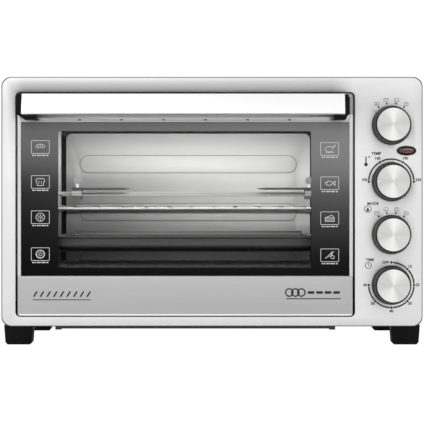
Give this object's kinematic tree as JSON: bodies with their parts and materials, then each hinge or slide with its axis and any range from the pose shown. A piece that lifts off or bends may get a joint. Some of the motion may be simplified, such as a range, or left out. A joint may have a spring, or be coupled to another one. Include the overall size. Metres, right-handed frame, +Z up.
{
  "type": "toaster oven",
  "caption": "Countertop oven with a drop-down glass door, round control knobs, wire rack, baking tray, rotisserie spit and a crumb tray.",
  "frame": {"origin": "on the table, under the middle of the whole oven's box", "axes": "+X to the right seen from the front, +Y to the back, +Z up"},
  "size_m": [0.525, 0.406, 0.335],
  "materials": {
    "brushed_steel": "brushed horizontally",
    "cavity_steel": "satin, light",
    "black_enamel": "gloss enamel",
    "dark_paint": "fine textured paint",
    "black_plastic": "moulded, satin",
    "knob_metal": "spun face",
    "handle_finish": "bright satin",
    "bright_wire": "polished",
    "zinc": "zinc plated",
    "door_glass": "clear with a black printed border",
    "indicator_red": "translucent",
    "ceramic": "ceramic",
    "switch_body": "moulded",
    "lamp_glass": "clear",
    "heater_metal": "oxidised"
  },
  "bodies": {
    "casing": {"front_fascia": "brushed_steel", "outer_cover": "dark_paint", "rear_cover": "dark_paint", "base_pan": "dark_paint", "feet": "black_plastic", "casing_screws": "zinc", "rear_spacers": "black_plastic", "cord_gland": "black_plastic", "cavity_liner": "cavity_steel", "cavity_front_frame": "cavity_steel", "cavity_rear_collar": "black_enamel", "cavity_back_wall": "cavity_steel", "heater_cover_plate": "cavity_steel", "rack_guides": "bright_wire", "heating_elements": "heater_metal", "heater_insulators": "ceramic", "spit_cradle": "zinc", "rotisserie_motor": "zinc", "fan_motor": "zinc", "fan_guard": "cavity_steel", "oven_lamp": "lamp_glass", "lamp_cover": "lamp_glass", "heat_shield": "zinc", "control_bracket": "zinc", "rotisserie_switch": "switch_body", "thermostat": "switch_body", "function_switch": "switch_body", "timer": "zinc", "indicator_bezel": "black_plastic", "indicator_lens": "indicator_red", "hinge_brackets": "zinc", "door_springs": "zinc"},
    "door": {"door_frame": "brushed_steel", "door_glass": "door_glass", "door_lower_panel": "brushed_steel", "door_top_trim": "brushed_steel", "handle_bar": "handle_finish", "handle_brackets": "black_plastic", "handle_screws": "zinc", "hinge_arms": "zinc", "hinge_pins": "zinc"},
    "rack": {"wire_rack": "bright_wire"},
    "tray": {"baking_tray": "black_enamel"},
    "crumb_drawer": {"crumb_tray": "dark_paint"},
    "spit": {"spit_rod": "bright_wire", "spit_forks": "bright_wire", "spit_drive": "zinc"},
    "fan": {"fan_blade": "zinc"},
    "rotisserie_control": {"rotisserie_knob": "black_plastic", "rotisserie_knob_cap": "knob_metal", "rotisserie_shaft": "zinc"},
    "temperature_control": {"temperature_knob": "black_plastic", "temperature_knob_cap": "knob_metal", "temperature_shaft": "zinc"},
    "function_control": {"function_knob": "black_plastic", "function_knob_cap": "knob_metal", "function_shaft": "zinc"},
    "timer_control": {"timer_knob": "black_plastic", "timer_knob_cap": "knob_metal", "timer_shaft": "zinc"}
  },
  "joints": [
    {"name": "door_hinge", "type": "hinge", "parent": "casing", "child": "door", "pos_m": [-0.034, -0.162, 0.0494], "axis": [1, 0, 0], "range_deg": [0, 90], "stiffness_Nm_per_rad": 1, "springref_deg": -28.65},
    {"name": "rack_slide", "type": "slide", "parent": "casing", "child": "rack", "axis": [0, -1, 0], "range_m": [0, 0.2]},
    {"name": "tray_slide", "type": "slide", "parent": "casing", "child": "tray", "axis": [0, -1, 0], "range_m": [0, 0.11]},
    {"name": "crumb_drawer_slide", "type": "slide", "parent": "casing", "child": "crumb_drawer", "axis": [0, -1, 0], "range_m": [0, 0.22]},
    {"name": "spit_turn", "type": "hinge", "parent": "casing", "child": "spit", "pos_m": [0, -0.015, 0.1906], "axis": [1, 0, 0], "continuous": true},
    {"name": "fan_turn", "type": "hinge", "parent": "casing", "child": "fan", "pos_m": [0.15, -0.07, 0.228], "axis": [1, 0, 0], "continuous": true},
    {"name": "rotisserie_turn", "type": "hinge", "parent": "casing", "child": "rotisserie_control", "pos_m": [0.2235, -0.175, 0.2747], "axis": [0, 1, 0], "range_deg": [0, 125]},
    {"name": "temperature_turn", "type": "hinge", "parent": "casing", "child": "temperature_control", "pos_m": [0.2235, -0.175, 0.2043], "axis": [0, 1, 0], "range_deg": [0, 180]},
    {"name": "function_turn", "type": "hinge", "parent": "casing", "child": "function_control", "pos_m": [0.2235, -0.175, 0.1385], "axis": [0, 1, 0], "range_deg": [0, 125]},
    {"name": "timer_turn", "type": "hinge", "parent": "casing", "child": "timer_control", "pos_m": [0.2235, -0.175, 0.0756], "axis": [0, 1, 0], "range_deg": [-270, 0]}
  ],
  "couplings": [
    {"joint": "rack_slide", "follows": "door_hinge", "m_per_rad": 0.12731},
    {"joint": "tray_slide", "follows": "door_hinge", "m_per_rad": 0.07002}
  ]
}
